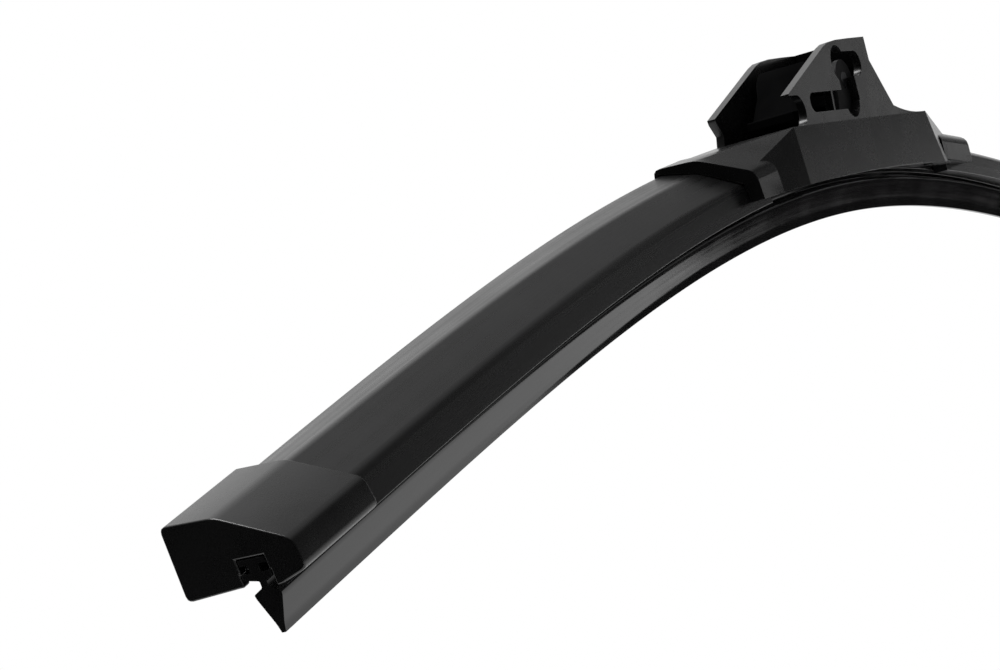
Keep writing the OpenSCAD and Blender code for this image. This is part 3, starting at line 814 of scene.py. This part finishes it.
@dataclass
class RoundedParts:
    """Copies of the moulded and stamped nodes, merged, and with every sharp edge rounded."""

    bow: Bow
    rear_face: float = 43.0
    face_play: float = 0.06
    outer_from: float = 6.5
    run_on: float = 6.0
    parts: tuple[Rounding, ...] = (
        Rounding("connector_cover", "connector_shell", "blade", FinishRoom.MOULDED, 0.32),
        Rounding("end_cap_front", "cap_front", "blade", FinishRoom.MOULDED, **CAP_EDGES),
        Rounding("end_cap_rear", "cap_rear", "blade", FinishRoom.MOULDED, **CAP_EDGES),
        Rounding("arm_clip", "hook_clip", "clip", FinishRoom.CLIP, 0.25),
        Rounding("pin_bracket", "eared_bracket", "blade", FinishRoom.COATED, **STAMPED_EDGES),
        Rounding("rail_clamp", "clawed_clamp", "blade", FinishRoom.COATED, **STAMPED_EDGES),
    )

    def merged(self, part: Rounding) -> bpy.types.Mesh:
        """Copies a node's loose triangles, merges their corners and joins coplanar faces."""
        mesh = frame["nodes"][part.node].data.copy()
        mesh.name = part.piece
        mesh.materials.clear()
        work = bmesh.new()
        work.from_mesh(mesh)
        bmesh.ops.remove_doubles(work, verts=work.verts, dist=MERGE_WITHIN * MM)
        bmesh.ops.dissolve_limit(work, angle_limit=np.radians(part.join), verts=work.verts,
                                 edges=work.edges)
        work.to_mesh(mesh)
        work.free()
        for layer in list(mesh.uv_layers):
            mesh.uv_layers.remove(layer)
        return mesh

    def close_rear_waist(self, mesh: bpy.types.Mesh) -> None:
        """Runs the rear collar's low side on under the block's taper, so that no step shows there.

        Points of the collar's forward face that lie beyond outer_from on the low side slide
        towards the middle of the blade, along the bow, by run_on.

        Args:
            mesh: the connector's merged copy.
        """
        points = np.empty(len(mesh.vertices) * 3, np.float32)
        mesh.vertices.foreach_get("co", points)
        points = points.reshape(-1, 3) / MM
        (x0,), (z0,) = self.bow.place(np.array([self.rear_face]))
        fall = self.bow.slope(np.array([self.rear_face]))[0]
        out = points[:, 0] - x0
        up = points[:, 2] - z0 + self.bow.pin_h
        along = out * np.cos(fall) - up * np.sin(fall)
        on_face = (np.abs(along) < self.face_play) & (points[:, 1] < -self.outer_from)
        points[:, 0] -= self.run_on * on_face * np.cos(fall)
        points[:, 2] += self.run_on * on_face * np.sin(fall)
        mesh.vertices.foreach_set("co", (points * MM).astype(np.float32).ravel())
        mesh.update()
        log.info("rear waist: %d points moved", int(on_face.sum()))

    def build(self, room: FinishRoom) -> list[bpy.types.Object]:
        """Makes each rounded copy and puts it in its node's place."""
        pieces = []
        for part in self.parts:
            mesh = self.merged(part)
            if part.node == "connector_cover":
                self.close_rear_waist(mesh)
            settle(mesh, part.sharp)
            piece = put(part.piece, mesh)
            bevel = piece.modifiers.new("rounded_edges", "BEVEL")
            bevel.width = part.radius * MM
            bevel.segments = part.segments
            bevel.limit_method = "ANGLE"
            bevel.angle_limit = np.radians(part.sharp)
            bevel.harden_normals = True
            bevel.use_clamp_overlap = part.clamp
            room.dress(piece, part.finish)
            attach(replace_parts(piece, part.node), part.body)
            pieces.append(piece)
        return pieces


@dataclass
class SteelParts:
    """The rails, stops, pin and rivets, which keep their own shapes and get steel finishes."""

    rolled: tuple[str, ...] = ("rail_left", "rail_right", "rail_stop_front", "rail_stop_rear")
    plated: tuple[str, ...] = (
        "pin_tube", "pin_rivet", "bracket_rivet_1", "bracket_rivet_2", "bracket_rivet_3",
        "bracket_rivet_4")

    def build(self, room: FinishRoom) -> list[bpy.types.Object]:
        """Dresses the carried-over nodes."""
        pieces = []
        for names, finish in ((self.rolled, FinishRoom.SPRING), (self.plated, FinishRoom.PIN)):
            for name in names:
                room.dress(frame["nodes"][name], finish)
                pieces.append(frame["nodes"][name])
        return pieces


# ---------------------------------------------------------------- camera and studio


@dataclass
class PhotoCamera:
    """The camera of the photograph, fitted to the blade's edges; its turn is a matrix by rows."""

    lens: float = 93.01806
    sensor: float = 36.0
    place: tuple[float, float, float] = (-0.43796857, -0.17586571, -0.03100317)
    turn: tuple[tuple[float, float, float], ...] = (
        (0.48513, 0.117544, -0.866506),
        (-0.84071, -0.209876, -0.499158),
        (-0.240532, 0.970637, -0.002997))

    def build(self) -> bpy.types.Object:
        """Makes the camera and the scene's view settings."""
        data = bpy.data.cameras.new("photo_camera")
        data.lens = self.lens
        data.sensor_width = self.sensor
        data.sensor_fit = "HORIZONTAL"
        data.clip_start = 0.01
        camera = bpy.data.objects.new("photo_camera", data)
        bpy.context.scene.collection.objects.link(camera)
        matrix = Matrix(self.turn).to_4x4()
        matrix.translation = self.place
        camera.matrix_world = matrix
        bpy.context.scene.camera = camera
        bpy.context.scene.view_settings.view_transform = "Standard"
        return camera


@dataclass(frozen=True)
class Sight:
    """Where a reflected ray looks: how far to the backdrop, to its right and up, as cosines."""

    facing: bpy.types.NodeSocket
    aside: bpy.types.NodeSocket
    height: bpy.types.NodeSocket


@dataclass(frozen=True)
class Zones:
    """Where the parts of the room begin and where they are full, as cosines.

    Near and facing are cosines to the backdrop, aside to its right, and foot, top and up to
    straight up.
    """

    backdrop_top: Span = (0.3, 0.46)
    wing_aside: Span = (0.3, 0.55)
    wing_near: Span = (0.34, 0.5)
    wing_facing: Span = (0.52, 0.66)
    inner_facing: Span = (0.56, 0.62)
    inner_top: Span = (0.09, 0.12)
    band_foot: Span = (0.02, 0.06)
    band_top: Span = (0.095, 0.06)
    glow_foot: Span = (0.02, 0.05)
    glow_top: Span = (0.1, 0.075)
    core_facing: Span = (0.62, 0.88)
    core_top: Span = (0.42, 0.26)
    core_aside: Span = (0.65, 0.5)
    high_facing: Span = (0.25, 0.55)
    high_top: Span = (0.88, 0.6)
    high_aside: Span = (0.26, 0.04)
    gap_aside: Span = (0.45, 0.62)
    gap_top: Span = (0.05, -0.02)
    low_aside: Span = (0.79, 0.86)
    low_top: Span = (-0.02, -0.1)
    ceiling_up: Span = (0.5, 0.95)


@dataclass
class Studio:
    """A pale floor below the held blade, a white backdrop behind it and one soft lamp overhead.

    In gloss the room dims away from the backdrop's bright core and the part above it. The
    backdrop's right-hand wing is dim, with a low band on its outer part and a low glow on its
    inner part. A dark gap lies between the wing and the far edge of the floor.
    """

    floor_z: float = -0.27
    floor_middle: tuple[float, float] = (0.21, -0.14)
    floor_radius: float = 0.7
    floor_rings: int = 23
    floor_turns: int = 96
    floor_fade: Span = (0.55, 0.96)
    floor_lift: float = 0.3
    paper_tones: Span = (0.78, 0.82)
    back: tuple[float, float, float] = (0.867, 0.499, 0.0)
    right: tuple[float, float, float] = (0.499, -0.867, 0.0)
    zones: Zones = Zones()
    backdrop: float = 0.5
    backdrop_power: float = 1.3
    above: float = 0.35
    wing: float = 0.2
    outer_wing: float = 0.05
    inner_wing: float = 0.12
    band: float = 0.45
    glow: float = 0.68
    high: float = 0.78
    low_right: float = 0.5
    ceiling: Span = (0.012, 0.42)
    soft: Span = (0.08, 0.75)
    lamp_watts: float = 10.5
    lamp_size: float = 0.5
    lamp_place: tuple[float, float, float] = (-0.18, 0.24, 1.16)

    def disc(self) -> bpy.types.Mesh:
        """The floor's mesh: a disc as rings of a polar grid round a middle point."""
        radii = np.linspace(0, self.floor_radius, self.floor_rings + 1)[1:]
        turns = np.linspace(0, 2 * np.pi, self.floor_turns + 1)[:-1]
        x = self.floor_middle[0] + radii[:, None] * np.cos(turns)[None]
        y = self.floor_middle[1] + radii[:, None] * np.sin(turns)[None]
        rings = np.stack([x, y, np.full_like(x, self.floor_z)], -1).reshape(-1, 3)
        verts = np.concatenate([[[*self.floor_middle, self.floor_z]], rings])
        n = len(turns)
        i, j = np.meshgrid(np.arange(len(radii) - 1), np.arange(n), indexing="ij")
        after = (j + 1) % n
        quads = np.stack([i * n + j, (i + 1) * n + j, (i + 1) * n + after, i * n + after], -1)
        middle = [(0, 1 + k, 1 + (k + 1) % n) for k in range(n)]
        mesh = bpy.data.meshes.new("studio_floor")
        mesh.from_pydata(verts.tolist(), [],
                         middle + [tuple(q) for q in (quads.reshape(-1, 4) + 1).tolist()])
        return mesh

    def paper(self) -> bpy.types.Material:
        """The floor's paper: to camera and gloss it is lifted, and fades to white at its rim."""
        material = bpy.data.materials.new("studio_floor_paper")
        g = emptied(material)
        place = g.add("ShaderNodeTexCoord").outputs["Object"]
        reach = g.vector("DISTANCE", place, (*self.floor_middle, self.floor_z)).outputs["Value"]
        fade_from, fade_to = (self.floor_radius * share for share in self.floor_fade)
        rim = g.spread(reach, fade_from, fade_to)
        path = g.add("ShaderNodeLightPath").outputs
        greys = [(tone, tone, tone, 1.0) for tone in self.paper_tones]
        colour = g.tint(g.noise(place, 60.0, 4.0), *greys)
        matt = g.add("ShaderNodeBsdfDiffuse", {"Color": colour}).outputs[0]
        lift = g.add("ShaderNodeEmission", {"Strength": self.floor_lift}).outputs[0]
        lifted = g.add("ShaderNodeAddShader", {0: matt, 1: lift}).outputs[0]
        white = g.add("ShaderNodeEmission", {"Strength": 1.0}).outputs[0]
        faded = g.add("ShaderNodeMixShader", {0: rim, 1: lifted, 2: white}).outputs[0]
        shiny = g.math("MAXIMUM", path["Is Glossy Ray"], path["Is Transmission Ray"])
        shown = g.math("MAXIMUM", path["Is Camera Ray"], shiny)
        seen = g.add("ShaderNodeMixShader", {0: shown, 1: matt, 2: faded}).outputs[0]
        g.add("ShaderNodeOutputMaterial", {"Surface": seen})
        return material

    def wing_light(self, g: Graph, sight: Sight) -> bpy.types.NodeSocket:
        """The wing in gloss: dim, banded on its outer part, glowing low down on its inner part."""
        zones = self.zones
        near = g.spread(sight.facing, *zones.wing_near)
        inner = g.spread(sight.facing, *zones.inner_facing)
        plain = g.product(g.spread(near, 0.0, 1.0, self.outer_wing, self.wing),
                          g.spread(sight.facing, *zones.wing_facing, 1.0, self.inner_wing))
        band = g.product(g.spread(sight.height, *zones.band_foot),
                         g.spread(sight.height, *zones.band_top), near, self.band, g.rest(inner))
        glow = g.product(g.spread(sight.height, *zones.glow_foot),
                         g.spread(sight.height, *zones.glow_top), inner, self.glow)
        light = g.math("ADD", g.math("ADD", plain, band), glow)
        return g.product(light, g.rest(g.product(g.spread(sight.height, *zones.inner_top), inner)))

    def gloss_light(self, g: Graph, sight: Sight) -> bpy.types.NodeSocket:
        """The whole room in gloss: backdrop, wing, core, high and low parts, gap and ceiling."""
        zones = self.zones
        facing, aside, height = sight.facing, sight.aside, sight.height
        toward = g.math("POWER", g.math("MAXIMUM", facing, 0.0), self.backdrop_power)
        backdrop = g.product(toward, self.backdrop,
                             g.spread(height, *zones.backdrop_top, 1.0, self.above))
        room = g.mix(g.spread(aside, *zones.wing_aside), backdrop, self.wing_light(g, sight))
        core = g.product(g.spread(facing, *zones.core_facing), g.spread(height, *zones.core_top),
                         g.spread(aside, *zones.core_aside))
        high = g.product(g.spread(aside, *zones.high_aside), g.spread(height, *zones.high_top),
                         g.spread(facing, *zones.high_facing, 0.0, self.high))
        room = g.math("MAXIMUM", g.math("MAXIMUM", room, core), high)
        gap = g.product(g.spread(aside, *zones.gap_aside), g.spread(height, *zones.gap_top))
        low = g.product(g.spread(aside, *zones.low_aside), g.spread(height, *zones.low_top),
                        self.low_right)
        room = g.math("ADD", g.product(room, g.rest(gap)), low)
        return g.math("ADD", room, g.spread(height, *zones.ceiling_up, *self.ceiling))

    def world(self) -> None:
        """White to the camera; a room that dims away from the backdrop to gloss and soft light."""
        world = bpy.data.worlds.new("studio_world")
        bpy.context.scene.world = world
        # Sampled as a lamp, the world would not know gloss from soft light
        world.cycles.sampling_method = "NONE"
        g = emptied(world)
        direction = g.add("ShaderNodeTexCoord").outputs["Generated"]
        sight = Sight(g.vector("DOT_PRODUCT", direction, self.back).outputs["Value"],
                      g.vector("DOT_PRODUCT", direction, self.right).outputs["Value"],
                      g.add("ShaderNodeSeparateXYZ", {0: direction}).outputs[2])
        soft = g.spread(sight.facing, -1.0, 1.0, *self.soft)
        path = g.add("ShaderNodeLightPath").outputs
        shiny = g.math("MAXIMUM", path["Is Glossy Ray"], path["Is Transmission Ray"])
        unseen = g.mix(shiny, soft, self.gloss_light(g, sight))
        strength = g.mix(path["Is Camera Ray"], unseen, 1.0)
        light = g.add("ShaderNodeBackground", {"Color": (1, 1, 1, 1), "Strength": strength})
        g.add("ShaderNodeOutputWorld", {"Surface": light.outputs[0]})

    def lamp(self) -> bpy.types.Object:
        """One large square lamp overhead, turned to the blade and unseen by the camera."""
        data = bpy.data.lights.new("overhead_softbox", "AREA")
        data.energy = self.lamp_watts
        data.size = self.lamp_size
        lamp = bpy.data.objects.new("overhead_softbox", data)
        bpy.context.scene.collection.objects.link(lamp)
        aim = Vector(self.lamp_place).to_track_quat("Z", "Y").to_matrix().to_4x4()
        aim.translation = self.lamp_place
        lamp.matrix_world = aim
        lamp.visible_camera = False
        return lamp

    def build(self) -> None:
        """Builds the floor, the world and the lamp."""
        floor = put("studio_floor", self.disc())
        floor.data.materials.append(self.paper())
        self.world()
        self.lamp()


def main() -> None:
    """Builds the camera, the pieces in order and the studio, and logs each piece's face count."""
    logging.basicConfig(level=logging.INFO, format="%(name)s: %(message)s")
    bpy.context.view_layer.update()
    PhotoCamera().build()
    room = FinishRoom()
    bow = Bow()
    for assembly in (SoftSpoiler(bow), WipingRubber(bow), RoundedParts(bow), SteelParts()):
        for piece in assembly.build(room):
            log.info("%s: %s, %d faces", type(assembly).__name__, piece.name,
                     len(piece.data.polygons))
    Studio().build()


if __name__ == "__main__":
    main()
